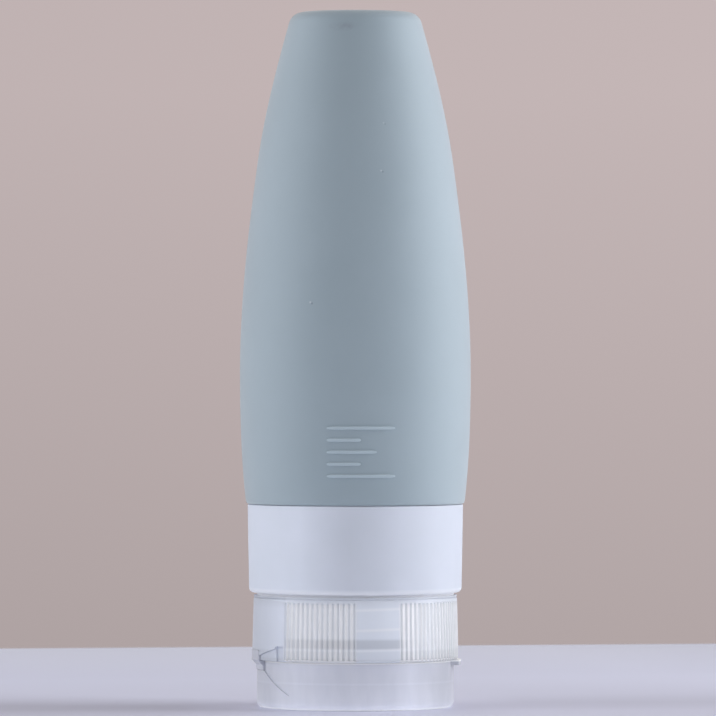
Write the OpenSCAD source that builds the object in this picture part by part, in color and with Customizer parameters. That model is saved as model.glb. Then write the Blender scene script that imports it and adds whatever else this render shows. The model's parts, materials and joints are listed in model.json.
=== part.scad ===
// Travel squeeze bottle standing on its closed flip-top cap.
// The bottle's axis is Z, the flat end of the lid lies on z = 0, and the front looks along -Y.

/* [Heights] */
// Height of the flip lid
lid_h = 7.85; // [6.5:0.05:10]
// Gap between the lid's rim and the cap's deck
seam_gap = 0.15; // [0.05:0.05:0.4]
// Height of the screw cap's skirt
skirt_h = 10.3; // [9:0.1:14]
// Gap between the cap's skirt and the collar ring
collar_gap = 0.6; // [0.3:0.05:1.5]
// Height of the collar ring
collar_h = 14.5; // [12:0.1:18]
// Joint line between the collar ring and the soft body
body_gap = 0.06; // [0.02:0.01:0.3]
// Height of the soft body above the collar ring
body_h = 80.94; // [70:0.1:100]

/* [Soft body] */
// Radius where the body is widest
body_r = 19; // [18.4:0.1:23]
// How far the widest place lies above the collar ring
belly_h = 21.5; // [15:0.5:30]
// Radius of the upper flank
flank_r = 16.05; // [14:0.05:18]
// How far the upper flank's station lies above the collar ring
flank_h = 56.5; // [48:0.5:62]
// Radius where the flank meets the rounded end
crown_r = 10.92; // [9:0.05:13]
// Rounding of the flat end
crown_round = 2.4; // [1:0.1:4]
// Outward lean of the body just above the collar ring, radius per height
foot_lean = 0.1175; // [0:0.01:0.2]
// Inward lean of the upper flank, radius per height
flank_lean = 0.14; // [0.05:0.01:0.25]
// Inward lean at the rounded end, radius per height
crown_lean = 0.28; // [0.15:0.01:0.5]
// How far the body stands proud of the collar ring
body_overhang = 0.25; // [0:0.05:0.8]
// Wall of the soft body
body_wall = 2; // [1.4:0.1:2.6]
// Thickness of the body's flat end
body_end_t = 2.4; // [1.6:0.1:4]
// Rounding of the body's lower edge
body_edge = 0.4; // [0.1:0.05:0.6]

/* [Neck and collar] */
// Radius of the bore through the neck
neck_bore_r = 12.3; // [11:0.1:13.5]
// Wall of the neck
neck_wall = 1.85; // [1.3:0.05:2.4]
// How far the neck's inner end stays below the collar ring's top
neck_recess = 2; // [1:0.1:4]
// Thickness of the neck's flange
flange_t = 1.2; // [0.8:0.1:2]
// Wall of the soft sleeve held between the neck and the collar
sleeve_wall = 1.8; // [1.2:0.05:2.4]
// Height of each barb on the neck
barb_h = 1.4; // [0.8:0.1:2]
// How far each barb stands out of the neck
barb_out = 0.5; // [0.2:0.05:0.8]
// Distance from one barb to the next
barb_pitch = 3.6; // [2.4:0.1:4.2]
// Wall of the collar ring at its lower edge
collar_wall = 1.45; // [1:0.05:2]
// How much wider the collar ring is at its top than at its foot
collar_flare = 0.23; // [0:0.01:0.5]
// Rounding of the collar ring's lower edge
collar_round = 0.8; // [0.3:0.05:1.1]
// How far the land that closes the gap over the cap is set in from the ring's foot
land_inset = 0.5; // [0.2:0.05:1]
// Thickness of the collar ring's inward lip
collar_lip_t = 1.4; // [0.8:0.1:2]

/* [Screw cap] */
// Room for the threads between the neck and the cap
thread_room = 1.05; // [0.8:0.05:1.4]
// Wall of the cap's skirt, ribs included
skirt_wall = 1.8; // [1.5:0.05:2.4]
// How much narrower the skirt is at its open edge than at the deck
skirt_draft = 0.25; // [0:0.05:0.5]
// Thickness of the cap's deck
deck_t = 1.9; // [1.4:0.1:2.6]
// Rounding of the skirt's open edge
skirt_round = 0.5; // [0.2:0.05:0.8]
// Angle from one grip rib to the next
rib_pitch = 3; // [2.5:0.5:6]
// Depth of the grooves between the grip ribs
rib_depth = 0.34; // [0.15:0.01:0.5]
// Width of a groove as a share of the rib pitch
groove_share = 0.62; // [0.4:0.01:0.8]
// Smooth band left above the ribs
rib_band = 0.75; // [0.3:0.05:2]
// Smooth foot left below the ribs
rib_foot = 0.3; // [0.1:0.05:1]
// Width of each of the two smooth panels, in degrees
panel_span = 24; // [12:1:50]
// Smooth stretch on each side of the hinge, in degrees
hinge_span = 34; // [26:1:50]
// Depth of the thumb scoop
scoop_depth = 0.95; // [0.4:0.05:1.2]
// Height of the thumb scoop above the deck
scoop_h = 5.4; // [3:0.1:8]

/* [Nozzle] */
// How far the nozzle boss stands out of the deck
boss_h = 3.9; // [3:0.1:5]
// Radius of the boss at the deck
boss_base_r = 10.6; // [8:0.1:11]
// Radius of the boss at its face
boss_face_r = 9.6; // [7:0.1:10.2]
// Wall of the boss
boss_wall = 1.2; // [0.9:0.05:1.6]
// Radius of the outlet
outlet_r = 2.2; // [1.5:0.05:3]
// Radius of the socket that holds the valve
socket_r = 4.5; // [4:0.05:6]
// Wall of the valve's socket
socket_wall = 1; // [0.8:0.05:1.5]
// Height of the deck's rim that centres the lid
rim_h = 0.8; // [0.4:0.05:1.5]
// Thickness of the rim that centres the lid
rim_t = 1.1; // [0.8:0.05:1.6]

/* [Valve and seal] */
// Thickness of the seal between the neck and the deck
seal_t = 1.5; // [1:0.1:2.4]
// Thickness of the web across the seal
web_t = 0.8; // [0.5:0.05:0.95]
// Wall of the valve's cup
cup_wall = 1; // [0.6:0.05:1.4]
// Thickness of the valve's slit end
valve_t = 0.7; // [0.4:0.05:1]
// Length of each slit in the valve
slit_l = 3.4; // [2:0.1:5]
// Width of each slit in the valve
slit_w = 0.15; // [0.05:0.05:0.4]

/* [Flip lid] */
// How far the lid's wall is set in from the skirt
lid_inset = 0.8; // [0.4:0.05:1.2]
// Wall of the lid
lid_wall = 1.2; // [1:0.05:1.5]
// Thickness of the lid's end
lid_end_t = 1.3; // [1:0.05:2]
// Rounding of the lid's end
lid_round = 1; // [0.4:0.05:1.2]
// How far the thumb lip stands out of the lid's wall
lip_out = 1.2; // [0.6:0.05:1.6]
// Thickness of the thumb lip
lip_t = 0.8; // [0.5:0.05:1.2]
// Width of the thumb lip
lip_w = 15; // [8:0.5:18]
// How far the plug pin reaches into the outlet
pin_reach = 1; // [0.5:0.1:1.15]
// Clearance round the plug pin in the outlet
pin_gap = 0.3; // [0.1:0.05:0.5]

/* [Hinge] */
// Direction of the hinge about the axis, from +X
hinge_dir = -167; // [-180:1:180]
// Width of the hinge strap
strap_w = 5; // [3.5:0.5:6]
// Thickness of the strap's legs
strap_t = 0.55; // [0.4:0.05:0.7]
// Height of each leg of the strap
strap_leg = 1.6; // [1:0.1:2.2]
// Thickness of the film that bends
film_t = 0.4; // [0.25:0.05:0.5]
// Half width of the hinge recess in the lid
lid_wing_w = 9.3; // [6:0.1:10]
// Height of the hinge recess in the lid, at its far side
lid_wing_h = 5.6; // [3:0.1:5.8]
// Height of the hinge recess in the lid, at the strap
lid_wing_start = 0.8; // [0.6:0.1:2]
// Half width of the hinge recess in the skirt
skirt_wing_w = 7.5; // [5:0.1:8]
// Height of the hinge recess in the skirt, at its far side
skirt_wing_h = 2; // [1:0.05:3]
// Height of the hinge recess in the skirt, at the strap
skirt_wing_start = 0.4; // [0.2:0.05:0.8]
// Depth of the hinge recesses
wing_depth = 0.25; // [0.2:0.05:0.7]
// Width of the notch at each end of the skirt's recess
notch_w = 1.7; // [0.8:0.1:2.4]
// Height of that notch
notch_h = 2.4; // [0.3:0.05:3]

/* [Hidden] */
$fn = 96;

// Clearance between pieces that are fitted together for good
fit_gap = 0.05;
// Clearance between pieces that turn or slide on one another
run_gap = 0.15;
// Reach of a cutting shape past the surface that it cuts
over = 0.5;
// Chamfer of small edges
edge = 0.2;
// Chamfer that leads one piece into another
lead_in = 0.5;
// Straight pieces between two stations of the body's outline
curve_steps = 10;

// Heights, from the lid's end upwards
seam_z = lid_h + seam_gap;
deck_z = seam_z + deck_t;
skirt_z = seam_z + skirt_h;
collar_z = skirt_z + collar_gap;
land_z = skirt_z + run_gap;
collar_top_z = collar_z + collar_h;
body_z = collar_top_z + body_gap;
body_top_z = body_z + body_h;
neck_z = deck_z + seal_t + 2 * fit_gap;
neck_top_z = collar_top_z - neck_recess;
flange_z = collar_z + collar_lip_t + fit_gap;
sleeve_z = flange_z + flange_t + fit_gap;
boss_z = seam_z - boss_h;
outlet_top_z = boss_z + boss_wall;

// Radii, from the neck's bore outwards
neck_r = neck_bore_r + neck_wall;
sleeve_in_r = neck_r + fit_gap;
sleeve_r = sleeve_in_r + sleeve_wall;
collar_in_r = sleeve_r + fit_gap;
collar_foot_r = collar_in_r + collar_wall;
collar_top_r = collar_foot_r + collar_flare;
land_r = collar_foot_r - collar_round - land_inset;
foot_r = collar_top_r + body_overhang;
skirt_in_r = neck_r + thread_room;
skirt_r = skirt_in_r + skirt_wall;
lid_r = skirt_r - lid_inset;
lid_in_r = lid_r - lid_wall;
rim_r = lid_in_r - 2 * run_gap;

// Hinge axis: its distance from the bottle's axis, and its height
hinge_r = skirt_r - film_t / 2 - fit_gap;
hinge_z = seam_z - fit_gap;

// Stations of the body's outline: height, radius and change of radius per height
stations = [
    [body_z, foot_r, foot_lean],
    [body_z + belly_h, body_r, 0],
    [body_z + flank_h, flank_r, -flank_lean],
    [body_top_z - crown_round * (1 - sin(atan(crown_lean))), crown_r, -crown_lean]
];

// Smooth curve between two stations at height z
function between(a, b, z) =
    let (span = b[0] - a[0], t = (z - a[0]) / span)
    (2 * t ^ 3 - 3 * t ^ 2 + 1) * a[1] + (t ^ 3 - 2 * t ^ 2 + t) * span * a[2]
    + (3 * t ^ 2 - 2 * t ^ 3) * b[1] + (t ^ 3 - t ^ 2) * span * b[2];

// Points [radius, height] along the body's outline, moved inwards by inset, from height z0
function flank(inset, z0) = [
    for (k = [0 : len(stations) - 2], i = [0 : curve_steps])
        let (a = stations[k], b = stations[k + 1], z = a[0] + (b[0] - a[0]) * i / curve_steps)
        if ((i > 0 || k == 0) && z > z0) [between(a, b, z) - inset, z]
];

// Points along an arc round a centre [radius, height]
function arc(centre, r, from, to, steps = 8) = [
    for (i = [0 : steps])
        let (angle = from + (to - from) * i / steps)
        [centre[0] + r * cos(angle), centre[1] + r * sin(angle)]
];

// The rounded end, tangent to the flank and to a flat end at height top
function crown(inset, r, top) =
    let (lean = atan(crown_lean))
    arc([crown_r - inset - r * cos(lean), top - r], r, lean, 90);

// Two barbs on the neck's sleeve, widened by gap where they press into the soft sleeve
module barbs(gap) {
    for (k = [0, 1]) {
        translate([neck_r, sleeve_z + 2 + k * barb_pitch])
            polygon([[-over, -gap], [gap, -gap], [barb_out + gap, barb_h / 3], [gap, barb_h + gap], [-over, barb_h + gap]]);
    }
}

module squeeze_body() {
    inner_top_z = body_top_z - body_end_t;
    inner_round = max(crown_round - body_wall / 2, 0.6);
    // The sleeve's bore opens out to the body's inside between these two heights
    mouth_z = neck_top_z + run_gap;
    throat_z = body_z + 1.8 * body_wall;
    outside = concat(
        [[sleeve_r, sleeve_z], [sleeve_r, body_z]],
        arc([foot_r - body_edge, body_z + body_edge], body_edge, -90, 0, 4),
        flank(0, body_z + 2 * body_edge),
        crown(0, crown_round, body_top_z)
    );
    color([0.6, 0.66, 0.7])
        rotate_extrude() {
            difference() {
                polygon(concat(outside, [[0, body_top_z], [0, sleeve_z]]));
                polygon(concat(
                    [[0, sleeve_z - over], [sleeve_in_r, sleeve_z - over], [sleeve_in_r, mouth_z]],
                    [for (p = flank(body_wall, throat_z)) if (p[1] < inner_top_z - inner_round - over) p],
                    crown(body_wall, inner_round, inner_top_z),
                    [[0, inner_top_z]]
                ));
                barbs(fit_gap);
            }
        }
}

module neck_insert() {
    color([0.9, 0.92, 0.95])
        rotate_extrude() {
            polygon([
                [neck_bore_r, neck_z],
                [neck_r - edge, neck_z],
                [neck_r, neck_z + edge],
                [neck_r, flange_z],
                [sleeve_r, flange_z],
                [sleeve_r, flange_z + flange_t],
                [neck_r, flange_z + flange_t],
                [neck_r, neck_top_z - lead_in],
                [neck_r - lead_in, neck_top_z],
                [neck_bore_r, neck_top_z]
            ]);
            difference() {
                barbs(0);
                translate([0, sleeve_z])
                    square([neck_r - over / 2, collar_h]);
            }
        }
}

module collar_ring() {
    color([0.9, 0.92, 0.97])
        rotate_extrude()
            polygon(concat(
                [[sleeve_in_r, land_z], [land_r, land_z], [land_r, collar_z]],
                arc([collar_foot_r - collar_round, collar_z + collar_round], collar_round, -90, 0),
                arc([collar_top_r - edge, collar_top_z - edge], edge, 0, 90, 4),
                [
                    [collar_in_r, collar_top_z],
                    [collar_in_r, collar_z + collar_lip_t],
                    [sleeve_in_r, collar_z + collar_lip_t]
                ]
            ));
}

module valve_seal() {
    seal_z = deck_z + fit_gap;
    seal_r = skirt_in_r - run_gap;
    cup_r = socket_r - run_gap;
    cup_z = outlet_top_z + fit_gap;
    ring_in_r = neck_bore_r - 2 * edge;
    color([0.66, 0.72, 0.78])
        difference() {
            rotate_extrude()
                polygon([
                    [0, cup_z],
                    [cup_r, cup_z],
                    [cup_r, seal_z],
                    [seal_r, seal_z],
                    [seal_r, seal_z + seal_t],
                    [ring_in_r, seal_z + seal_t],
                    [ring_in_r - seal_t + web_t, seal_z + web_t],
                    [cup_r - cup_wall, seal_z + web_t],
                    [cup_r - cup_wall, cup_z + valve_t],
                    [0, cup_z + valve_t]
                ]);
            for (turn = [0, 90])
                rotate([0, 0, turn])
                    translate([-slit_l / 2, -slit_w / 2, cup_z - over])
                        cube([slit_l, slit_w, valve_t + 2 * over]);
        }
}

// True where a grip rib belongs, by its angle from the hinge
function ribbed(angle) =
    let (a = abs(angle > 180 ? angle - 360 : angle))
    a > hinge_span && abs(a - 90) > panel_span / 2;

// The grooves between the grip ribs, leaning with the skirt's draft
module grip_grooves() {
    // Half width of a groove at the skirt's surface, and at the cutter's open side
    half = skirt_r * sin(rib_pitch / 2) * groove_share;
    mouth = half * (1 + over / rib_depth);
    rib_l = skirt_h - rib_band - rib_foot;
    for (angle = [rib_pitch / 2 : rib_pitch : 360 - rib_pitch / 2])
        if (ribbed(angle))
            rotate([0, 0, hinge_dir + angle])
                translate([skirt_r, 0, seam_z + rib_foot])
                    rotate([0, -atan(skirt_draft / skirt_h), 0])
                        linear_extrude(rib_l)
                            polygon([[-rib_depth, 0], [over, -mouth], [over, mouth]]);
}

// A recess on each side of the strap, w wide from its middle. From the rim at height z it is start high
// at the strap and h high at its far side, and it leaves a wall of radius r - wing_depth.
// Negative heights go down.
module wings(r, w, z, start, h) {
    rim_over_z = z - sign(h) * over;
    difference() {
        rotate([0, 0, hinge_dir])
            for (side = [-1, 1])
                rotate([90, 0, 90])
                    linear_extrude(r + 2 * over)
                        polygon([
                            [side * strap_w / 4, rim_over_z],
                            [side * w, rim_over_z],
                            [side * w, z + h],
                            [side * strap_w / 4, z + start]
                        ]);
        cylinder(r = r - wing_depth, h = 3 * seam_z);
    }
}

// The pocket in a wall of radius r for one leg of the strap
module strap_pocket(r, low, high) {
    rotate([0, 0, hinge_dir])
        translate([r - strap_t, -strap_w / 2 - fit_gap, low])
            cube([strap_t + over, strap_w + 2 * fit_gap, high - low]);
}

// A notch in the skirt's foot at each end of its recess
module notches() {
    difference() {
        rotate([0, 0, hinge_dir])
            for (side = [-1, 1])
                translate([0, side * (skirt_wing_w + notch_w / 2) - notch_w / 2, seam_z - over])
                    cube([skirt_r + over, notch_w, notch_h + over]);
        cylinder(r = skirt_r - 2 * wing_depth, h = 3 * seam_z);
    }
}

module screw_cap() {
    scoop_r = (scoop_h ^ 2 + scoop_depth ^ 2) / (2 * scoop_depth);
    skirt_top_r = skirt_r - skirt_draft;
    color([0.85, 0.88, 0.93, 0.6])
        difference() {
            rotate_extrude() {
                // Skirt and deck
                polygon(concat(
                    [
                        [outlet_r, deck_z],
                        [outlet_r, seam_z],
                        [skirt_r - edge, seam_z],
                        [skirt_r, seam_z + edge]
                    ],
                    arc([skirt_top_r - skirt_round, skirt_z - skirt_round], skirt_round, 0, 90, 4),
                    [
                        [skirt_in_r + lead_in - fit_gap, skirt_z],
                        [skirt_in_r, skirt_z - lead_in],
                        [skirt_in_r, deck_z]
                    ]
                ));
                // Rim that centres the lid
                polygon([
                    [rim_r - rim_t, seam_z],
                    [rim_r - rim_t, seam_z - rim_h],
                    [rim_r - edge, seam_z - rim_h],
                    [rim_r, seam_z - rim_h + edge],
                    [rim_r, seam_z]
                ]);
                // Nozzle boss
                polygon([
                    [outlet_r, seam_z + over],
                    [outlet_r, boss_z],
                    [boss_face_r - 2 * edge, boss_z],
                    [boss_face_r, boss_z + 2 * edge],
                    [boss_base_r, seam_z - edge],
                    [boss_base_r + edge, seam_z],
                    [boss_base_r + edge, seam_z + over]
                ]);
            }
            // Moat and socket behind the boss, which leave its wall and the socket's
            rotate_extrude() {
                polygon([
                    [socket_r + socket_wall, outlet_top_z],
                    [boss_face_r - boss_wall, outlet_top_z],
                    [boss_base_r - boss_wall, deck_z + over],
                    [socket_r + socket_wall, deck_z + over]
                ]);
                translate([0, outlet_top_z])
                    square([socket_r, deck_z - outlet_top_z + over]);
            }
            grip_grooves();
            wings(skirt_r, skirt_wing_w, seam_z, skirt_wing_start, skirt_wing_h);
            notches();
            strap_pocket(skirt_r, seam_z - over, seam_z + strap_leg);
            // Thumb scoop
            rotate([0, 0, hinge_dir + 180])
                translate([skirt_r - scoop_depth + scoop_r, 0, seam_z])
                    rotate([90, 0, 0])
                        cylinder(r = scoop_r, h = 2 * skirt_r, center = true, $fn = 180);
        }
}

module hinge_strap() {
    cap_in = skirt_r - strap_t + fit_gap;
    lid_face = lid_r - fit_gap;
    lid_in = lid_r - strap_t + fit_gap;
    color([0.85, 0.88, 0.93, 0.6])
        rotate([0, 0, hinge_dir])
            rotate([90, 0, 0])
                linear_extrude(strap_w, center = true)
                    polygon([
                        [cap_in, seam_z + strap_leg - fit_gap],
                        [cap_in, hinge_z + film_t],
                        [hinge_r - film_t / 2, hinge_z],
                        [lid_in, lid_h - strap_leg / 2],
                        [lid_in, lid_h - strap_leg + fit_gap],
                        [lid_face, lid_h - strap_leg + fit_gap],
                        [lid_face, lid_h - strap_leg / 2],
                        [hinge_r + film_t / 2, hinge_z],
                        [skirt_r, hinge_z + film_t],
                        [skirt_r, seam_z + strap_leg - fit_gap]
                    ]);
}

module flip_lid() {
    pin_r = outlet_r - pin_gap;
    pin_top_z = boss_z + pin_reach;
    lip_r = lid_r + lip_out;
    color([0.85, 0.88, 0.93, 0.6])
        difference() {
            union() {
                rotate_extrude() {
                    polygon(concat(
                        [[0, 0]],
                        arc([lid_r - lid_round, lid_round], lid_round, -90, 0),
                        [
                            [lid_r, lid_h],
                            [lid_in_r, lid_h],
                            [lid_in_r, lid_end_t + lead_in],
                            [lid_in_r - lead_in, lid_end_t],
                            [0, lid_end_t]
                        ]
                    ));
                    // Plug pin that closes the outlet
                    polygon([
                        [0, lid_end_t - over],
                        [pin_r + lead_in, lid_end_t - over],
                        [pin_r + lead_in, lid_end_t],
                        [pin_r, lid_end_t + lead_in],
                        [pin_r, pin_top_z - lead_in],
                        [pin_r - lead_in, pin_top_z],
                        [0, pin_top_z]
                    ]);
                }
                // Thumb lip
                rotate([0, 0, hinge_dir + 180])
                    intersection() {
                        difference() {
                            translate([0, 0, lid_h - lip_t])
                                cylinder(r = lip_r, h = lip_t);
                            cylinder(r = lid_r - lid_wall / 2, h = lid_h + over);
                        }
                        translate([0, -lip_w / 2, 0])
                            cube([2 * lid_r, lip_w, lid_h + over]);
                    }
            }
            wings(lid_r, lid_wing_w, lid_h, -lid_wing_start, -lid_wing_h);
            strap_pocket(lid_r, lid_h - strap_leg, lid_h + over);
        }
}

squeeze_body();
neck_insert();
collar_ring();
valve_seal();
screw_cap();
hinge_strap();
flip_lid();
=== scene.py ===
"""Travel squeeze bottle standing on its closed flip lid: soft body, closure, finishes and studio.

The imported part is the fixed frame. Its rigid nodes stay and get their finishes. The soft body, the seal
and the hinge strap are modelled again here, and the threads and the level marks are added.
All lengths are in metres. The bottle's axis is Z, the lid's flat end is on z = 0, the front looks along -Y.
"""

import json
import logging
import math
from abc import ABC, abstractmethod
from collections.abc import Callable, Iterator
from contextlib import contextmanager
from dataclasses import dataclass
from enum import Enum

import bmesh
import bpy
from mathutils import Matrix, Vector

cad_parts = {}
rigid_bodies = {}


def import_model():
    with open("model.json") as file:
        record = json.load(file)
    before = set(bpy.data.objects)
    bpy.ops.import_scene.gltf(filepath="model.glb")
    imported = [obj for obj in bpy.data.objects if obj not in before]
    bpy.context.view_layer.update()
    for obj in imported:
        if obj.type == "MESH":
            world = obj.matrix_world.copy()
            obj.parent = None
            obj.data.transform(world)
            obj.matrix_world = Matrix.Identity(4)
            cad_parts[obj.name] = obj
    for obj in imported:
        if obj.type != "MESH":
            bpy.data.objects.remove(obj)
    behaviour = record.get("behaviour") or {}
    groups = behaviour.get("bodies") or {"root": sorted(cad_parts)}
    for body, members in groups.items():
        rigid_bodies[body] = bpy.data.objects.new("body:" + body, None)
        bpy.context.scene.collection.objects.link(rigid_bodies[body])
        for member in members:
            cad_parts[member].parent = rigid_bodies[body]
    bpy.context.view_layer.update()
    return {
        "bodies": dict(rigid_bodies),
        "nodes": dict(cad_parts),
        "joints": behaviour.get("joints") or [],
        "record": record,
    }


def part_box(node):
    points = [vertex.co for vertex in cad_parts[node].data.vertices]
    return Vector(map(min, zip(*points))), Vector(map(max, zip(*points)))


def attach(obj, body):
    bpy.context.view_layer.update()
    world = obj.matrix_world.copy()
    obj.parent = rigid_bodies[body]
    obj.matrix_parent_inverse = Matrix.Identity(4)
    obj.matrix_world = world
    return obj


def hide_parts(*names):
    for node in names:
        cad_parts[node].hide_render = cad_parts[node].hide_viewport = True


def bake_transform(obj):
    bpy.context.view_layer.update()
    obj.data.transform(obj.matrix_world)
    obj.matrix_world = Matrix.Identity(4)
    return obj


LOG = logging.getLogger("squeeze_bottle")
MM = 0.001
FULL_TURN = 2 * math.pi
MERGE_WITHIN = 0.001 * MM
WHITE = (1.0, 1.0, 1.0)
BLACK = (0.0, 0.0, 0.0)

Colour = tuple[float, float, float]
Place = tuple[float, float, float]
Point = tuple[float, float]
Span = tuple[float, float]
Stops = tuple[tuple[float, float], ...]

NO_RIMS: Stops = ((0.0, 0.0), (1.0, 0.0))


def tone(red: int, green: int, blue: int) -> Colour:
    """Turns a colour as it is written on a screen into the linear one that the shaders take.

    Args:
        red: Red, 0 to 255.
        green: Green, 0 to 255.
        blue: Blue, 0 to 255.

    Returns:
        The linear red, green and blue.
    """

    def linear(value: float) -> float:
        """Undoes the screen's curve for one channel."""
        share = value / 255
        return share / 12.92 if share <= 0.04045 else ((share + 0.055) / 1.055) ** 2.4

    return (linear(red), linear(green), linear(blue))


def arc(centre: Point, radius: float, start: float, end: float, steps: int) -> list[Point]:
    """Gives points along an arc in an outline.

    Args:
        centre: The arc's centre, as distance from the axis and height.
        radius: The arc's radius.
        start: First angle in degrees, from pointing outwards.
        end: Last angle in degrees.
        steps: Number of straight pieces.

    Returns:
        The points, as distance from the axis and height.
    """
    angles = [math.radians(start + (end - start) * i / steps) for i in range(steps + 1)]
    return [(centre[0] + radius * math.cos(a), centre[1] + radius * math.sin(a)) for a in angles]


def stops_mm(*stops: tuple[float, float]) -> Stops:
    """Gives a row of stops whose places are written in millimetres.

    Args:
        *stops: Pairs of a place in millimetres and the value there, upwards.

    Returns:
        The same pairs, with their places in metres.
    """
    return tuple((place * MM, value) for place, value in stops)


class Body(Enum):
    """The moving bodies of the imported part."""

    BOTTLE = "bottle"
    SEAL = "seal"
    CAP = "cap"
    LID = "lid"


class Slot(Enum):
    """The material slots of the record."""

    SOFT_SILICONE = "soft_silicone"
    WHITE_PLASTIC = "white_plastic"
    NECK_PLASTIC = "neck_plastic"
    VALVE_SILICONE = "valve_silicone"
    FROSTED_PLASTIC = "frosted_plastic"


class Bench:
    """Blender's modelling operators, used on one piece at a time as by hand."""

    @staticmethod
    def clear() -> None:
        """Leaves edit mode and deselects everything."""
        if bpy.context.object and bpy.context.object.mode != "OBJECT":
            bpy.ops.object.mode_set(mode="OBJECT")
        bpy.ops.object.select_all(action="DESELECT")

    @staticmethod
    def name_new(name: str) -> bpy.types.Object:
        """Names the primitive that was just added, and its mesh.

        Args:
            name: The piece's name.

        Returns:
            The primitive.
        """
        piece = bpy.context.object
        piece.name = name
        piece.data.name = name
        return piece

    @staticmethod
    @contextmanager
    def editing(piece: bpy.types.Object) -> Iterator[None]:
        """Keeps a piece in edit mode, all selected at first, for the lines inside the with.

        Args:
            piece: The mesh object to edit.

        Yields:
            Nothing.
        """
        Bench.pick(piece)
        bpy.ops.object.mode_set(mode="EDIT")
        bpy.ops.mesh.select_all(action="SELECT")
        yield
        bpy.ops.object.mode_set(mode="OBJECT")

    @staticmethod
    def pick(piece: bpy.types.Object) -> None:
        """Makes a piece the only selected one, and the active one.

        Args:
            piece: The piece.
        """
        Bench.clear()
        piece.select_set(True)
        bpy.context.view_layer.objects.active = piece

    @staticmethod
    def select_points(piece: bpy.types.Object, wanted: Callable[[Vector], bool]) -> None:
        """Selects the points of a piece in edit mode by their place.

        Args:
            piece: The piece in edit mode.
            wanted: Says whether a point at a place is selected.
        """
        bpy.ops.mesh.select_all(action="DESELECT")
        bpy.ops.mesh.select_mode(type="VERT")
        form = bmesh.from_edit_mesh(piece.data)
        for point in form.verts:
            point.select_set(wanted(point.co))
        form.select_flush(True)
        bmesh.update_edit_mesh(piece.data)

    @staticmethod
    def face_outwards() -> None:
        """Turns all faces of the piece in edit mode outwards."""
        bpy.ops.mesh.select_all(action="SELECT")
        bpy.ops.mesh.normals_make_consistent(inside=False)

    @staticmethod
    def modify(piece: bpy.types.Object, kind: str, **settings: object) -> None:
        """Adds a modifier to a piece and applies it.

        Args:
            piece: The piece.
            kind: Blender's name for the modifier.
            **settings: The modifier's settings.
        """
        Bench.pick(piece)
        modifier = piece.modifiers.new(kind.lower(), kind)
        for key, value in settings.items():
            setattr(modifier, key, value)
        bpy.ops.object.modifier_apply(modifier=modifier.name)

    @staticmethod
    def round_edges(piece: bpy.types.Object, width: float, segments: int, bend: float = 30.0) -> None:
        """Rounds the edges of a piece that turn by more than a bend in degrees.

        Args:
            piece: The piece.
            width: Width of the rounding.
            segments: Number of faces across it.
            bend: The least bend that is rounded.
        """
        Bench.modify(
            piece,
            "BEVEL",
            width=width,
            segments=segments,
            limit_method="ANGLE",
            angle_limit=math.radians(bend),
        )

    @staticmethod
    def settle(piece: bpy.types.Object) -> None:
        """Moves a piece's place, turn and scale into its mesh, so that its object sits at the origin."""
        Bench.pick(piece)
        bpy.ops.object.transform_apply(location=True, rotation=True, scale=True)

    @staticmethod
    def smooth(piece: bpy.types.Object, angle: float = 32.0) -> None:
        """Shades a piece smooth, apart from edges sharper than an angle in degrees."""
        Bench.pick(piece)
        bpy.ops.object.shade_smooth_by_angle(angle=math.radians(angle))

    @staticmethod
    def join(pieces: list[bpy.types.Object], name: str) -> bpy.types.Object:
        """Joins pieces into one.

        Args:
            pieces: The pieces, of which the first stays.
            name: The joined piece's name.

        Returns:
            The joined piece.
        """
        Bench.clear()
        for piece in pieces:
            piece.select_set(True)
        bpy.context.view_layer.objects.active = pieces[0]
        bpy.ops.object.join()
        return Bench.name_new(name)

    @staticmethod
    def turned(name: str, outline: list[Point], steps: int) -> bpy.types.Object:
        """Spins an outline round the bottle's axis, as on a lathe, into a closed form.

        Args:
            name: The piece's name.
            outline: Points as distance from the axis and height. Both ends lie on the axis, or meet.
            steps: Number of faces round the axis.

        Returns:
            The turned piece.
        """
        Bench.clear()
        first = Vector((outline[0][0], 0, outline[0][1]))
        bpy.ops.mesh.primitive_plane_add(size=MM, location=first)
        piece = Bench.name_new(name)
        Bench.settle(piece)
        with Bench.editing(piece):
            bpy.ops.mesh.merge(type="CENTER")
            last = first
            for radius, height in outline[1:]:
                point = Vector((radius, 0, height))
                bpy.ops.mesh.extrude_region_move(TRANSFORM_OT_translate={"value": point - last})
                last = point
            bpy.ops.mesh.select_all(action="SELECT")
            bpy.ops.mesh.spin(steps=steps, angle=FULL_TURN, center=(0, 0, 0), axis=(0, 0, 1))
            bpy.ops.mesh.select_all(action="SELECT")
            bpy.ops.mesh.remove_doubles(threshold=MERGE_WITHIN)
            bpy.ops.mesh.delete_loose()
            Bench.face_outwards()
        return piece


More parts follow.
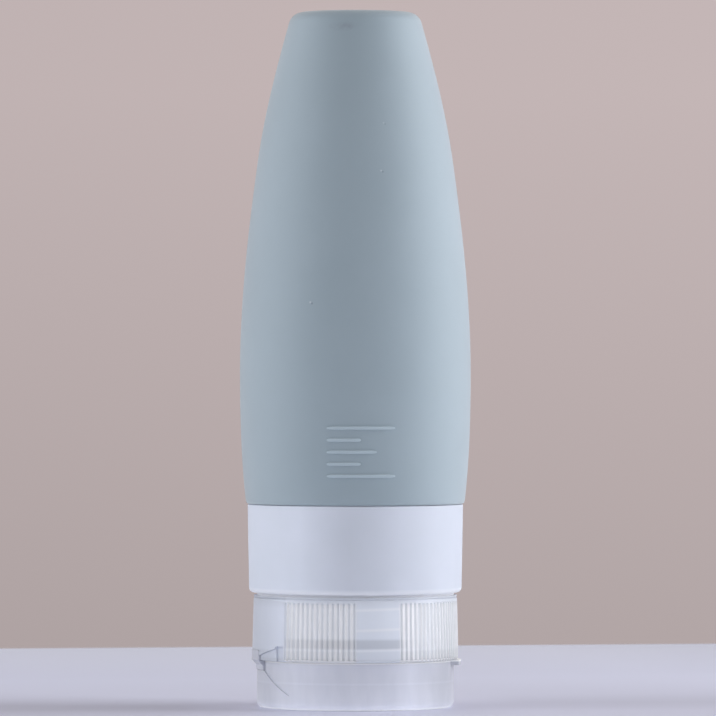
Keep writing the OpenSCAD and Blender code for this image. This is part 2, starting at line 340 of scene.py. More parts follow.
class Shader:
    """The nodes of one material or world, added and linked one at a time."""

    NOISE_MIDDLE: Span = (0.3, 0.7)

    def __init__(self, owner: bpy.types.Material | bpy.types.World) -> None:
        """Starts from an empty tree.

        Args:
            owner: The material or world whose nodes these are.
        """
        owner.use_nodes = True
        self.tree = owner.node_tree
        self.tree.nodes.clear()

    def add(self, kind: str, **settings: object) -> bpy.types.Node:
        """Adds a node.

        Args:
            kind: The node's type, without the ShaderNode in front.
            **settings: Properties of the node, such as operation or blend_type.

        Returns:
            The node.
        """
        node = self.tree.nodes.new(f"ShaderNode{kind}")
        for key, value in settings.items():
            setattr(node, key, value)
        return node

    def feed(self, node: bpy.types.Node, **inputs: object) -> bpy.types.Node:
        """Sets or links a node's inputs by name, with _ for a space.

        Args:
            node: The node.
            **inputs: A value to set, or an output socket to link.

        Returns:
            The same node.
        """
        for key, value in inputs.items():
            socket = node.inputs[key.replace("_", " ")]
            if isinstance(value, bpy.types.NodeSocket):
                self.tree.links.new(value, socket)
            elif socket.type == "RGBA" and len(value) == 3:
                socket.default_value = (*value, 1)
            else:
                socket.default_value = value
        return node

    def place(self) -> bpy.types.NodeSocket:
        """Gives the place on the piece, in metres."""
        return self.add("TexCoord").outputs["Object"]

    def split(self, vector: bpy.types.NodeSocket) -> bpy.types.NodeOutputs:
        """Takes a vector apart into its X, Y and Z."""
        return self.feed(self.add("SeparateXYZ"), Vector=vector).outputs

    def length(self, vector: bpy.types.NodeSocket) -> bpy.types.NodeSocket:
        """Gives how long a vector is.

        Args:
            vector: The vector.

        Returns:
            Its length.
        """
        node = self.add("VectorMath", operation="LENGTH")
        self.tree.links.new(vector, node.inputs[0])
        return node.outputs["Value"]

    def noise(self, size: float, detail: float = 3, stretch: Place = (1, 1, 1)) -> bpy.types.NodeSocket:
        """Adds noise on the piece's own coordinates.

        Args:
            size: Size of the noise's spots, in metres.
            detail: Number of finer layers.
            stretch: How much denser it is along X, Y and Z.

        Returns:
            The noise, about 0 to 1.
        """
        spread = self.feed(self.add("Mapping"), Vector=self.place(), Scale=stretch)
        node = self.add("TexNoise")
        return self.feed(node, Vector=spread.outputs[0], Scale=1 / size, Detail=detail).outputs[0]

    def ranged(self, value: bpy.types.NodeSocket, low: Point, high: Point) -> bpy.types.NodeSocket:
        """Maps a value from one range to another, and clamps it.

        Args:
            value: The value.
            low: One end of the range, and what the value becomes there.
            high: The other end of the range, and what the value becomes there.

        Returns:
            The mapped value.
        """
        node = self.add("MapRange")
        self.feed(node, Value=value, From_Min=low[0], To_Min=low[1], From_Max=high[0], To_Max=high[1])
        return node.outputs[0]

    def spread(self, noise: bpy.types.NodeSocket, low: float = 0, high: float = 1) -> bpy.types.NodeSocket:
        """Maps the middle of a noise, where most of it lies, to low and high.

        Args:
            noise: The noise.
            low: What the low end of its middle becomes.
            high: What the high end of its middle becomes.

        Returns:
            The mapped noise.
        """
        return self.ranged(noise, (self.NOISE_MIDDLE[0], low), (self.NOISE_MIDDLE[1], high))

    def rising(self, value: bpy.types.NodeSocket, span: Span, top: float = 1) -> bpy.types.NodeSocket:
        """Rises from 0 to a top while a value crosses a span, and stays there.

        Args:
            value: The value.
            span: Where the rise starts and where it ends.
            top: How high it rises.

        Returns:
            The risen value.
        """
        return self.ranged(value, (span[0], 0), (span[1], top))

    def math(self, operation: str, first: object, second: object) -> bpy.types.NodeSocket:
        """Adds one step of arithmetic on two values.

        Args:
            operation: Blender's name for it, such as MULTIPLY.
            first: A number or a socket.
            second: A number or a socket.

        Returns:
            The result.
        """
        node = self.add("Math", operation=operation)
        for socket, value in zip(node.inputs, (first, second)):
            if isinstance(value, bpy.types.NodeSocket):
                self.tree.links.new(value, socket)
            else:
                socket.default_value = value
        return node.outputs[0]

    def mixed(
        self, share: object, first: object, second: object, blend: str = "MIX"
    ) -> bpy.types.NodeSocket:
        """Mixes two colours.

        Args:
            share: How much of the second colour, as a number or a socket.
            first: A colour or a socket.
            second: A colour or a socket.
            blend: Blender's name for the way in which they mix.

        Returns:
            The mixed colour.
        """
        node = self.add("Mix", data_type="RGBA", blend_type=blend)
        wanted = {"Factor": share, "A": first, "B": second}
        for socket in node.inputs:
            if not socket.enabled or socket.name not in wanted:
                continue
            value = wanted[socket.name]
            if isinstance(value, bpy.types.NodeSocket):
                self.tree.links.new(value, socket)
            else:
                socket.default_value = (*value, 1) if isinstance(value, tuple) else value
        return next(socket for socket in node.outputs if socket.enabled)

    def bumped(self, height: bpy.types.NodeSocket, depth: float, share: float) -> bpy.types.NodeSocket:
        """Turns a height into a bump.

        Args:
            height: The height, 0 to 1.
            depth: What a height of 1 stands for, in metres.
            share: Strength of the bump.

        Returns:
            The normal.
        """
        node = self.feed(self.add("Bump"), Height=height, Distance=depth, Strength=share)
        return node.outputs[0]

    def place_along(self, axis: str) -> bpy.types.NodeSocket:
        """Gives the place on the piece along X, Y or Z, in metres."""
        return self.split(self.place())[axis]

    def graded(self, value: bpy.types.NodeSocket, stops: Stops) -> bpy.types.NodeSocket:
        """Follows a row of stops along a value.

        Args:
            value: The value.
            stops: Pairs of a value and the brightness there, upwards.

        Returns:
            The brightness.
        """
        low, high = stops[0][0], stops[-1][0]
        node = self.add("ValToRGB")
        row = node.color_ramp.elements
        for place, _ in stops[1:-1]:
            row.new((place - low) / (high - low))
        for element, (_, level) in zip(row, stops):
            element.color = (level, level, level, 1)
        return self.feed(node, Fac=self.ranged(value, (low, 0), (high, 1))).outputs[0]

    def scaled(self, colour: bpy.types.NodeSocket, share: bpy.types.NodeSocket) -> bpy.types.NodeSocket:
        """Scales a colour by a brightness."""
        return self.mixed(1, colour, share, "MULTIPLY")

    def layered(
        self, share: bpy.types.NodeSocket, first: bpy.types.NodeSocket, second: bpy.types.NodeSocket
    ) -> bpy.types.NodeSocket:
        """Mixes two shaders.

        Args:
            share: How much of the second shader.
            first: A shader.
            second: A shader.

        Returns:
            The mixed shader.
        """
        node = self.add("MixShader")
        for socket, source in zip(node.inputs, (share, first, second)):
            self.tree.links.new(source, socket)
        return node.outputs[0]

    def angle_from(self, way: Place) -> bpy.types.NodeSocket:
        """Gives how far places on a round wall are turned away from one direction.

        Args:
            way: The direction from the axis, flat and one long.

        Returns:
            The angle in degrees, 0 to 180.
        """
        flat = self.feed(self.add("Mapping"), Vector=self.place(), Scale=(1, 1, 0)).outputs[0]
        unit = self.add("VectorMath", operation="NORMALIZE")
        self.tree.links.new(flat, unit.inputs[0])
        dot = self.add("VectorMath", operation="DOT_PRODUCT")
        self.tree.links.new(unit.outputs[0], dot.inputs[0])
        dot.inputs[1].default_value = way
        return self.math("MULTIPLY", self.math("ARCCOSINE", dot.outputs["Value"], 0), math.degrees(1))

    def spot(self, centre: Place, radius: Place, edge: float) -> bpy.types.NodeSocket:
        """Marks an oval spot round a place on the piece.

        Args:
            centre: The spot's centre.
            radius: Its half sizes along X, Y and Z.
            edge: Share of the radius over which the spot fades.

        Returns:
            1 inside the spot and 0 outside.
        """
        scale = tuple(1 / size for size in radius)
        shift = tuple(-c / size for c, size in zip(centre, radius))
        moved = self.feed(self.add("Mapping"), Vector=self.place(), Scale=scale, Location=shift)
        return self.ranged(self.length(moved.outputs[0]), (1 - edge, 1), (1, 0))

    def surface(self, **inputs: object) -> None:
        """Ends a material with a Principled shader."""
        shader = self.feed(self.add("BsdfPrincipled"), **inputs)
        self.feed(self.add("OutputMaterial"), Surface=shader.outputs[0])


@dataclass(frozen=True, kw_only=True)
class Finish(ABC):
    """What all finishes share: their skin lies on a plastic or rubber that lets some light in.

    depth is how far light goes in, and reach how far red, green and blue go, as shares of it.
    """

    name: str
    milkiness: float
    depth: float
    ior: float
    reach: Colour = (1.0, 1.0, 1.0)

    @abstractmethod
    def skin(self, shader: Shader) -> dict[str, object]:
        """Gives the finish's own inputs of the Principled shader."""

    def make(self) -> bpy.types.Material:
        """Builds the material.

        Returns:
            The material.
        """
        material = bpy.data.materials.new(self.name)
        shader = Shader(material)
        shader.surface(
            Subsurface_Weight=self.milkiness,
            Subsurface_Radius=self.reach,
            Subsurface_Scale=self.depth,
            IOR=self.ior,
            **self.skin(shader),
        )
        return material


@dataclass(frozen=True, kw_only=True)
class SiliconeFinish(Finish):
    """Matt grey-blue silicone: a fine dusty grain and a faint bloom at grazing angles."""

    name: str = "soft_silicone_finish"
    milkiness: float = 0.08
    depth: float = 1.5 * MM
    ior: float = 1.41
    roughness: Span = (0.56, 0.64)
    bloom: float = 0.35
    bloom_edge: float = 0.5
    bloom_tint: Colour = (1.0, 0.97, 0.95)
    colour: Colour = tone(151, 167, 179)
    dusty: Colour = tone(161, 176, 188)
    smudge: Colour = tone(137, 146, 160)
    speck: Colour = tone(205, 212, 218)
    # a darker spot just below and beside each light speck
    speck_dark: Colour = tone(108, 118, 130)
    grain: float = 0.35 * MM
    grain_height: float = 0.5
    grain_depth: float = 0.02 * MM
    grain_share: float = 0.5
    dust: Stops = ((0.66, 0.0), (0.85, 0.35))
    cloud: float = 14 * MM
    cloud_share: float = 0.4
    smudge_at: Place = (-2.0 * MM, -11.0 * MM, 111.6 * MM)
    smudge_size: Place = (2.6 * MM, 3.0 * MM, 0.9 * MM)
    smudge_edge: float = 0.9
    patch: float = 1.2 * MM
    patchy: Stops = ((0.35, 0.2), (0.65, 0.9))
    speck_at: tuple[Point, ...] = ((-7.3 * MM, 66.5 * MM), (4.6 * MM, 95.7 * MM), (4.2 * MM, 87.9 * MM))
    speck_y: float = -18.0 * MM
    speck_size: Place = (0.22 * MM, 6 * MM, 0.22 * MM)
    speck_edge: float = 0.5
    speck_share: float = 0.55
    speck_dark_share: float = 0.5
    speck_dark_shift: Point = (1.2 * 0.22 * MM, -0.8 * 0.22 * MM)

    def skin(self, shader: Shader) -> dict[str, object]:
        """Paints the clouds, the dusty grain, the smudge by the top and the few specks.

        Args:
            shader: The material's shader.

        Returns:
            The finish's own inputs of the Principled shader.
        """
        cloud = shader.spread(shader.noise(self.cloud, 4))
        grain = shader.noise(self.grain, 2)
        colour = shader.mixed(shader.math("MULTIPLY", cloud, self.cloud_share), self.colour, self.dusty)
        colour = shader.mixed(shader.ranged(grain, *self.dust), colour, self.dusty)
        smudge = shader.spot(self.smudge_at, self.smudge_size, self.smudge_edge)
        patchy = shader.ranged(shader.noise(self.patch), *self.patchy)
        colour = shader.mixed(shader.math("MULTIPLY", smudge, patchy), colour, self.smudge)
        height = shader.math("MULTIPLY", grain, self.grain_height)
        # each light speck gets a darker spot just below and beside it
        aside, down = self.speck_dark_shift
        for x, z in self.speck_at:
            light = shader.spot((x, self.speck_y, z), self.speck_size, self.speck_edge)
            dark = shader.spot((x + aside, self.speck_y, z + down), self.speck_size, self.speck_edge)
            colour = shader.mixed(shader.math("MULTIPLY", light, self.speck_share), colour, self.speck)
            colour = shader.mixed(shader.math("MULTIPLY", dark, self.speck_dark_share), colour, self.speck_dark)
            height = shader.math("ADD", height, light)
        low, high = self.roughness
        return {
            "Base_Color": colour,
            "Roughness": shader.ranged(cloud, (0, low), (1, high)),
            "Normal": shader.bumped(height, self.grain_depth, self.grain_share),
            "Sheen_Weight": self.bloom,
            "Sheen_Roughness": self.bloom_edge,
            "Sheen_Tint": self.bloom_tint,
        }


@dataclass(frozen=True, kw_only=True)
class CollarFinish(Finish):
    """White polypropylene with a cool cast and a satin skin.

    sides scales its brightness by the place along X as painted light and shade, and rim brightens it by
    height as painted light on its lower rim.
    """

    name: str = "collar_plastic_finish"
    milkiness: float = 0.12
    depth: float = 1.5 * MM
    ior: float = 1.49
    reach: Colour = (1.0, 1.0, 1.1)
    roughness: Span = (0.5, 0.58)
    shine: float = 0.12
    colour: Colour = tone(221, 227, 243)
    shade: Colour = tone(216, 223, 238)
    cloud: float = 9 * MM
    # painted light and shade across the ring, by the place along X
    sides: Stops = stops_mm(
        (-15.1, 0.925), (-9.0, 1.0), (-0.9, 0.875), (7.2, 0.915), (13.7, 0.855), (16.5, 0.81)
    )
    # painted light that lifts the shade on the ring's lower rounding
    rim_light_colour: Colour = tone(248, 249, 255)
    rim: Stops = stops_mm((18.5, 0.9), (19.0, 0.6), (19.8, 0.0))
    grain: float = 0.5 * MM
    grain_stretch: Place = (1, 1, 0.35)
    grain_depth: float = 0.006 * MM
    grain_share: float = 0.5

    def skin(self, shader: Shader) -> dict[str, object]:
        """Paints the clouds, painted light and shade round the ring, and painted light on its lower rim.

        Args:
            shader: The material's shader.

        Returns:
            The finish's own inputs of the Principled shader.
        """
        cloud = shader.spread(shader.noise(self.cloud))
        grain = shader.noise(self.grain, stretch=self.grain_stretch)
        colour = shader.mixed(cloud, self.colour, self.shade)
        # painted light and shade along X
        colour = shader.scaled(colour, shader.graded(shader.place_along("X"), self.sides))
        # painted light on the lower rim
        rim = shader.graded(shader.place_along("Z"), self.rim)
        return {
            "Base_Color": shader.mixed(rim, colour, self.rim_light_colour),
            "Roughness": shader.spread(grain, *self.roughness),
            "Normal": shader.bumped(grain, self.grain_depth, self.grain_share),
            "Specular_IOR_Level": self.shine,
        }


@dataclass(frozen=True, kw_only=True)
class FrostedFinish(Finish):
    """Milky see-through polypropylene, which shows faintly what stands behind its wall.

    levels scales its brightness by height, and sides by the place along X as painted shade towards its
    sides.
    rims whitens it by height as painted light on its rims.
    flow is the size of the streaks that the mould left.
    """

    name: str = "frosted_lid_finish"
    milkiness: float = 0.35
    depth: float = 2.0 * MM
    ior: float = 1.49
    roughness: Span = (0.42, 0.5)
    shine: float = 0.15
    colour: Colour = tone(226, 229, 244)
    clear: Colour = tone(216, 220, 236)
    levels: Stops = stops_mm(
        (0.4, 1.0), (1.5, 0.93), (2.3, 0.92), (3.9, 0.88),
        (4.15, 0.875), (4.38, 0.925), (4.7, 0.87), (7.9, 0.87),
    )
    # painted light and shade along X, darkest towards the sides
    sides: Stops = stops_mm(
        (-17.0, 0.77), (-14.0, 0.82), (-12.5, 0.92), (-9.5, 1.04), (-5.0, 1.02), (-1.0, 0.98),
        (9.0, 1.0), (10.5, 0.89), (12.5, 0.785), (13.7, 0.71), (15.3, 0.67), (17.0, 0.65),
    )
    # painted light on the lid's foot and top rim, where they sit in shade
    rim_light_colour: Colour = tone(252, 253, 255)
    rims: Stops = stops_mm((0.0, 0.1), (0.04, 0.6), (0.12, 0.6), (0.5, 0.0), (7.55, 0.0), (7.75, 0.8))
    grain: float = 0.3 * MM
    grain_depth: float = 0.006 * MM
    grain_share: float = 0.4
    flow: float = 2.6 * MM
    flow_stretch: Place = (1, 1, 0.3)
    flow_middle: Span = (0.35, 0.65)
    flow_share: float = 0.7

    def flowed(self, shader: Shader, colour: object) -> bpy.types.NodeSocket:
        """Mixes the faint flow of the mould into a colour.

        Args:
            shader: The material's shader.
            colour: A colour or a socket.

        Returns:
            The mixed colour.
        """
        flow = shader.noise(self.flow, stretch=self.flow_stretch)
        flow = shader.rising(flow, self.flow_middle, self.flow_share)
        return shader.mixed(flow, colour, self.clear)

    def tinted(self, shader: Shader) -> bpy.types.NodeSocket:
        """Gives the plastic's own colour, with the faint flow of the mould in it."""
        return self.flowed(shader, self.colour)

    def brightness(self, shader: Shader) -> bpy.types.NodeSocket:
        """Gives the brightness of the wall, which follows what stands behind it, with painted shade towards
        its sides.
        """
        upwards = shader.graded(shader.place_along("Z"), self.levels)
        # painted shade towards the sides
        return shader.math("MULTIPLY", upwards, shader.graded(shader.place_along("X"), self.sides))

    def skin(self, shader: Shader) -> dict[str, object]:
        """Paints the wall's colour and brightness, with painted light on its rims.

        Args:
            shader: The material's shader.

        Returns:
            The finish's own inputs of the Principled shader.
        """
        grain = shader.noise(self.grain, 2)
        colour = shader.scaled(self.tinted(shader), self.brightness(shader))
        # painted light on the rims
        rims = shader.graded(shader.place_along("Z"), self.rims)
        return {
            "Base_Color": shader.mixed(rims, colour, self.rim_light_colour),
            "Roughness": shader.spread(grain, *self.roughness),
            "Normal": shader.bumped(grain, self.grain_depth, self.grain_share),
            "Specular_IOR_Level": self.shine,
        }


@dataclass(frozen=True, kw_only=True)
class CapFinish(FrostedFinish):
    """The same plastic on the cap: milky rib crests, partly painted highlights, on a clearer ground, with
    seal and thread behind it.

    crest_light and ground_light, painted light and shade on the crests and the ground, and band_on_ribs go
    by the place along X, and band goes by height. Directions and widths round the axis, and rib_wave, are
    in degrees.
    thread_wave is a share of the thread's pitch.
    """

    name: str = "frosted_cap_finish"
    # the crests are near white: milkier plastic, and painted highlights along them
    colour: Colour = tone(247, 248, 255)
    ground: Colour = tone(245, 248, 255)
    # painted light and shade on the ribs: crests darkened and grooves lightened towards the sides
    crest_light: Stops = stops_mm(
        (-11.0, 0.71), (-9.2, 0.91), (5.0, 0.93), (7.2, 1.0), (9.6, 1.0), (10.8, 0.7)
    )
    ground_light: Stops = stops_mm((-11.0, 1.0), (-9.0, 0.93), (9.0, 0.92), (10.8, 1.0))
    clear: Colour = tone(223, 229, 243)
    dim: Colour = tone(212, 218, 233)
    flow_share: float = 0.12
    # painted shade at the top, under the ring; darker towards the foot
    levels: Stops = stops_mm(
        (8.0, 0.95), (8.08, 0.8), (8.4, 0.79), (8.5, 0.86), (8.8, 0.885), (9.6, 0.9),
        (10.0, 0.98), (16.6, 1.0), (17.5, 0.93), (18.2, 0.9), (18.35, 0.85),
    )
    # painted shade towards the sides
    sides: Stops = stops_mm(
        (-17.0, 0.8), (-16.2, 0.78), (-14.5, 0.85), (-12.0, 1.0),
        (12.0, 1.0), (14.5, 0.85), (16.2, 0.78), (17.0, 0.8),
    )
    rims: Stops = NO_RIMS
    band: Stops = stops_mm((9.9, 0.0), (10.35, 0.24), (11.4, 0.22), (11.9, 0.0))
    band_on_ribs: Stops = stops_mm(
        (-12.0, 0.5), (-7.0, 0.55), (-5.5, 0.78), (5.0, 0.78), (7.3, 0.4), (8.5, 0.2), (11.0, 0.05)
    )
    hinge_dir: float = -167.0
    hinge_half: float = 34.0
    panel_half: float = 12.6
    panel_dir: float = 90.0
    blend: float = 0.6
    rib_pitch: float = 3.0
    rib_wave: Span = (0.2, 1.0)
    rib_end: Span = (17.2 * MM, 17.8 * MM)
    pitch: float = 3.3 * MM
    thread_z: float = 13.25 * MM
    thread_dir: float = -77.0
    thread_wave: Span = (0.4, 0.48)
    thread_share: float = 0.36

    def from_hinge(self, shader: Shader) -> bpy.types.NodeSocket:
        """Gives the angle round the axis from the hinge, 0 to 180 degrees."""
        turn = math.radians(self.hinge_dir)
        return shader.angle_from((math.cos(turn), math.sin(turn), 0))

    def near(self, shader: Shader, value: bpy.types.NodeSocket, half: float) -> bpy.types.NodeSocket:
        """Gives 1 where an angle is less than half of a stretch, and 0 past it."""
        return shader.ranged(value, (half - self.blend, 1), (half + self.blend, 0))

    def panels(self, shader: Shader) -> bpy.types.NodeSocket:
        """Marks the two smooth panels, a quarter turn from the hinge."""
        turn = shader.math("SUBTRACT", self.from_hinge(shader), self.panel_dir)
        return self.near(shader, shader.math("ABSOLUTE", turn, 0), self.panel_half)

    def hinge_side(self, shader: Shader) -> bpy.types.NodeSocket:
        """Marks the smooth stretch by the hinge."""
        return self.near(shader, self.from_hinge(shader), self.hinge_half)

    def thread_crests(self, shader: Shader) -> bpy.types.NodeSocket:
        """Marks the thread's crests, which wind up round the neck behind the panels.

        Args:
            shader: The material's shader.

        Returns:
            How far the crests show, 0 to 1.
        """
        place = shader.split(shader.place())
        turns = shader.math("MULTIPLY", shader.math("ARCTAN2", place["Y"], place["X"]), 1 / FULL_TURN)
        pitches = shader.math("MULTIPLY", place["Z"], 1 / self.pitch)
        first = self.thread_z / self.pitch - math.radians(self.thread_dir) / FULL_TURN
        past_root = shader.math("SUBTRACT", shader.math("SUBTRACT", pitches, turns), first - 0.5)
        wave = shader.math("PINGPONG", past_root, 0.5)
        crest = shader.rising(wave, self.thread_wave, self.thread_share)
        return shader.math("MULTIPLY", crest, self.panels(shader))

    def tinted(self, shader: Shader) -> bpy.types.NodeSocket:
        """Gives the colour over the rib crests, with painted light and shade on crests and grooves, the
        panels and the thread behind them.

        Args:
            shader: The material's shader.

        Returns:
            The colour.
        """
        wave = shader.math("PINGPONG", self.from_hinge(shader), self.rib_pitch / 2)
        across = shader.place_along("X")
        # painted light and shade on crests and grooves, along X
        crest = shader.mixed(shader.graded(across, self.crest_light), BLACK, self.colour)
        ground = shader.mixed(shader.graded(across, self.ground_light), BLACK, self.ground)
        colour = shader.mixed(shader.rising(wave, self.rib_wave), crest, ground)
        over = shader.rising(shader.place_along("Z"), self.rib_end)
        colour = shader.mixed(shader.math("MAXIMUM", self.panels(shader), over), colour, self.clear)
        colour = shader.mixed(self.hinge_side(shader), colour, self.dim)
        colour = shader.mixed(self.thread_crests(shader), colour, self.colour)
        return self.flowed(shader, colour)

    def brightness(self, shader: Shader) -> bpy.types.NodeSocket:
        """Gives the brightness up the wall, with painted shade under the ring and the seal's dark band that
        shows best in the panels.

        Args:
            shader: The material's shader.

        Returns:
            The brightness.
        """
        on_ribs = shader.graded(shader.place_along("X"), self.band_on_ribs)
        shown = shader.math("MAXIMUM", self.panels(shader), on_ribs)
        shown = shader.math("MULTIPLY", shown, shader.math("SUBTRACT", 1, self.hinge_side(shader)))
        band = shader.math("MULTIPLY", shader.graded(shader.place_along("Z"), self.band), shown)
        return shader.math("MULTIPLY", super().brightness(shader), shader.math("SUBTRACT", 1, band))


@dataclass(frozen=True, kw_only=True)
class MilkyFinish(Finish):
    """A solid milky plastic or rubber, faintly cloudy and with a fine grain."""

    reach: Colour = (1.0, 1.0, 1.1)
    colour: Colour
    shade: Colour
    cloud: float
    cloud_middle: Span
    roughness: Span
    grain: float
    grain_share: float
    grain_depth: float = 0.01 * MM

    def skin(self, shader: Shader) -> dict[str, object]:
        """Paints the faint clouds and the grain.

        Args:
            shader: The material's shader.

        Returns:
            The finish's own inputs of the Principled shader.
        """
        cloud = shader.noise(self.cloud)
        return {
            "Base_Color": shader.mixed(shader.rising(cloud, self.cloud_middle), self.colour, self.shade),
            "Roughness": shader.spread(cloud, *self.roughness),
            "Normal": shader.bumped(shader.noise(self.grain), self.grain_depth, self.grain_share),
        }


@dataclass(frozen=True, kw_only=True)
class NeckFinish(MilkyFinish):
    """Natural polypropylene of the threaded neck, milky white."""

    name: str = "neck_plastic_finish"
    milkiness: float = 0.3
    depth: float = 2 * MM
    ior: float = 1.49
    colour: Colour = tone(232, 237, 246)
    shade: Colour = tone(222, 228, 240)
    cloud: float = 3 * MM
    cloud_middle: Span = (0.3, 0.7)
    roughness: Span = (0.36, 0.46)
    grain: float = 0.4 * MM
    grain_share: float = 0.4


@dataclass(frozen=True, kw_only=True)
class ValveFinish(MilkyFinish):
    """Milky blue-grey silicone of the seal and its slit valve."""

    name: str = "valve_silicone_finish"
    milkiness: float = 0.25
    depth: float = 1.5 * MM
    ior: float = 1.41
    colour: Colour = tone(150, 160, 178)
    shade: Colour = tone(140, 150, 168)
    cloud: float = 2 * MM
    cloud_middle: Span = (0.0, 1.0)
    roughness: Span = (0.45, 0.55)
    grain: float = 0.3 * MM
    grain_share: float = 0.5


@dataclass
class SqueezeBody:
    """The soft silicone body, with raised level marks near its foot."""

    foot_r: float = 17.98 * MM
    foot_lean: float = 0.1175
    belly_h: float = 21.5 * MM
    belly_r: float = 19.0 * MM
    flank_h: float = 56.5 * MM
    flank_r: float = 16.05 * MM
    flank_lean: float = 0.14
    crown_r: float = 10.92 * MM
    crown_lean: float = 0.28
    crown_round: float = 2.4 * MM
    joint_gap: float = 0.06 * MM
    foot_edge: float = 0.4 * MM
    wall: float = 2.0 * MM
    throat_h: float = 3.6 * MM
    shoulder_gap: float = 0.5 * MM
    end_t: float = 2.4 * MM
    sleeve_r: float = 16.0 * MM
    sleeve_in_r: float = 14.2 * MM
    mouth_gap: float = 0.15 * MM
    steps_round: int = 144
    steps_flank: int = 36
    steps_crown: int = 8
    steps_edge: int = 4
    mark_left: float = -4.6 * MM
    mark_low: float = 38.3 * MM
    mark_pitch: float = 1.95 * MM
    mark_lengths: tuple[float, ...] = (11.0 * MM, 5.5 * MM, 8.0 * MM, 5.5 * MM, 11.0 * MM)
    mark_w: float = 0.54 * MM
    mark_out: float = 0.26 * MM
    mark_round: float = 0.09 * MM
    mark_segments: int = 3
    mark_columns: int = 24
    mark_rows: int = 4
    mark_ends: tuple[float, ...] = (0.45, 0.85)
    mark_colour: Colour = tone(172, 189, 202)
    mark_dusty: Colour = tone(180, 196, 208)

    def stations(self) -> list[tuple[float, float, float]]:
        """Gives the outline's stations, as height, radius and change of radius per height.

        Returns:
            The stations, upwards.
        """
        foot_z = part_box("collar_ring")[1].z + self.joint_gap
        top_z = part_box("squeeze_body")[1].z
        crown_z = top_z - self.crown_round * (1 - math.sin(math.atan(self.crown_lean)))
        return [
            (foot_z, self.foot_r, self.foot_lean),
            (foot_z + self.belly_h, self.belly_r, 0.0),
            (foot_z + self.flank_h, self.flank_r, -self.flank_lean),
            (crown_z, self.crown_r, -self.crown_lean),
        ]

    def radius_at(self, height: float) -> float:
        """Gives the body's outer radius at a height.

        Args:
            height: The height.

        Returns:
            The radius, on a smooth curve through the stations.
        """
        stations = self.stations()
        for (z0, r0, lean0), (z1, r1, lean1) in zip(stations, stations[1:]):
            if height <= z1:
                break
        span = z1 - z0
        t = (height - z0) / span
        start = (2 * t**3 - 3 * t**2 + 1) * r0 + (t**3 - 2 * t**2 + t) * span * lean0
        return start + (3 * t**2 - 2 * t**3) * r1 + (t**3 - t**2) * span * lean1

    def flank(self, inset: float, low: float, high: float) -> list[Point]:
        """Gives the points of the flank between two heights, moved inwards.

        Args:
            inset: How far inwards.
            low: Lowest height.
            high: Highest height.

        Returns:
            The points, upwards.
        """
        steps = self.steps_flank
        heights = [low + (high - low) * i / steps for i in range(steps + 1)]
        return [(self.radius_at(z) - inset, z) for z in heights]

    def crown(self, inset: float, radius: float, top: float) -> list[Point]:
        """Gives the points of the rounded end, upwards, for the outside or the inside.

        Args:
            inset: How far inside the outer wall it lies.
            radius: Radius of the rounding.
            top: Height of the end's flat face.

        Returns:
            The points, as distance from the axis and height.
        """
        lean = math.degrees(math.atan(self.crown_lean))
        centre = (self.crown_r - inset - radius * math.cos(math.radians(lean)), top - radius)
        return arc(centre, radius, lean, 90, self.steps_crown)

    def outline(self) -> list[Point]:
        """Gives the whole section: outside upwards, then inside downwards, back to its start.

        Returns:
            The points, as distance from the axis and height.
        """
        low_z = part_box("squeeze_body")[0].z
        top_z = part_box("squeeze_body")[1].z
        foot_z = self.stations()[0][0]
        crown_z = self.stations()[-1][0]
        inner_top = top_z - self.end_t
        inner_round = self.crown_round - self.wall / 2
        mouth_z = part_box("neck_insert")[1].z + self.mouth_gap
        throat_z = foot_z + self.throat_h
        shoulder_z = inner_top - inner_round - self.shoulder_gap
        edge = (self.foot_r - self.foot_edge, foot_z + self.foot_edge)
        start = (self.sleeve_r, low_z)
        outside = [
            start,
            (self.sleeve_r, foot_z),
            *arc(edge, self.foot_edge, -90, 0, self.steps_edge),
            *self.flank(0, foot_z + 2 * self.foot_edge, crown_z)[:-1],
            *self.crown(0, self.crown_round, top_z),
            (0, top_z),
        ]
        inside = [
            (self.sleeve_in_r, low_z),
            (self.sleeve_in_r, mouth_z),
            *self.flank(self.wall, throat_z, shoulder_z),
            *self.crown(self.wall, inner_round, inner_top),
            (0, inner_top),
        ]
        return outside + inside[::-1] + [start]

    def model_form(self) -> bpy.types.Object:
        """Turns the soft body.

        Returns:
            The soft body.
        """
        piece = Bench.turned("soft_body", self.outline(), self.steps_round)
        Bench.smooth(piece)
        return piece

    def model_mark(self, row: int, length: float, form: bpy.types.Object) -> bpy.types.Object:
        """Models one raised level mark with rounded ends, laid on the body's front.

        Args:
            row: The mark's number, upwards.
            length: Its length.
            form: The body that it lies on.

        Returns:
            The mark.
        """
        height = self.mark_low + row * self.mark_pitch
        middle = self.mark_left + length / 2
        in_front = -1.4 * self.belly_r
        Bench.clear()
        bpy.ops.mesh.primitive_grid_add(
            x_subdivisions=self.mark_columns,
            y_subdivisions=self.mark_rows,
            size=1,
            location=(middle, in_front, height),
            rotation=(math.pi / 2, 0, 0),
        )
        piece = Bench.name_new(f"level_mark_{row}")
        piece.scale = (length, self.mark_w, 1)
        Bench.settle(piece)
        with Bench.editing(piece):
            half = length / 2
            column = length / self.mark_columns
            for back, share in enumerate(self.mark_ends):
                for side in (-1, 1):
                    edge_x = middle + side * (half - back * column)
                    Bench.select_points(piece, lambda co, x=edge_x: abs(co.x - x) < column / 4)
                    bpy.ops.transform.resize(value=(1, 1, share), center_override=(edge_x, 0, height))
        Bench.modify(
            piece,
            "SHRINKWRAP",
            target=form,
            wrap_method="PROJECT",
            use_project_y=True,
            use_positive_direction=True,
        )
        Bench.modify(piece, "SOLIDIFY", thickness=2 * self.mark_out, offset=0)
        Bench.round_edges(piece, self.mark_round, self.mark_segments)
        return piece

